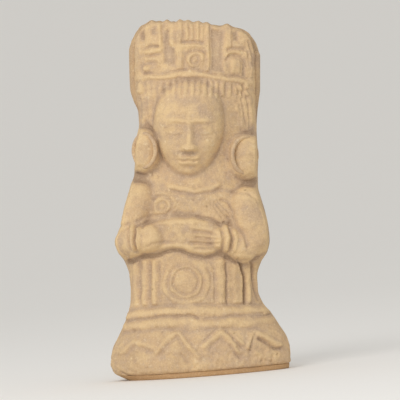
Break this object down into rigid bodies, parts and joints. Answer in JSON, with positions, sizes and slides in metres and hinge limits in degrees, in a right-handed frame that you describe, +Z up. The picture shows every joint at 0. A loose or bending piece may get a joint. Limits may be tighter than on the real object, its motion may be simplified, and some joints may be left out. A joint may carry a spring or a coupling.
{
  "type": "pottery effigy figure",
  "caption": "Hollow standing pottery figure in a tall panelled headdress, with round ear flares, hands on the belly and a flaring skirt, free-standing on a flat foot.",
  "frame": {"origin": "on the underside of the foot, on the seam plane between the front and the back shell, below the middle of the headdress panel", "axes": "+Z up, front of the figure towards -Y, viewer's right +X"},
  "size_m": [0.0812, 0.0479, 0.1618],
  "materials": {
    "moulded_clay": "matte unglazed clay",
    "plain_clay": "matte unglazed clay",
    "applied_clay": "matte unglazed clay"
  },
  "bodies": {
    "root": {"back_shell": "plain_clay", "bracelet_left_1": "applied_clay", "bracelet_left_2": "applied_clay", "bracelet_right_1": "applied_clay", "bracelet_right_2": "applied_clay", "brow_roll": "applied_clay", "collar": "applied_clay", "crest_column": "applied_clay", "crest_disc": "applied_clay", "crest_plumes": "applied_clay", "ear_flare_left": "applied_clay", "ear_flare_right": "applied_clay", "face": "applied_clay", "flare_stud_left": "applied_clay", "flare_stud_right": "applied_clay", "floor_slab": "plain_clay", "forearm_left": "applied_clay", "forearm_right": "applied_clay", "fringe": "applied_clay", "front_shell": "moulded_clay", "hand_left": "applied_clay", "hand_right": "applied_clay", "headdress_border_left": "applied_clay", "headdress_border_right": "applied_clay", "hem_band": "applied_clay", "knot_left": "applied_clay", "knot_right": "applied_clay", "lappet_left": "applied_clay", "lappet_right": "applied_clay", "left_scroll": "applied_clay", "medallion": "applied_clay", "medallion_frame": "applied_clay", "pleat_left_inner": "applied_clay", "pleat_left_middle": "applied_clay", "pleat_left_outer": "applied_clay", "pleat_right_inner": "applied_clay", "pleat_right_middle": "applied_clay", "pleat_right_outer": "applied_clay", "right_scroll": "applied_clay", "rosette_left": "applied_clay", "rosette_right": "applied_clay", "scroll_boss": "applied_clay", "scroll_tongue": "applied_clay", "seam_coil": "plain_clay", "skirt_band": "applied_clay", "upper_arm_left": "applied_clay", "upper_arm_right": "applied_clay", "zigzag": "applied_clay"}
  },
  "joints": []
}
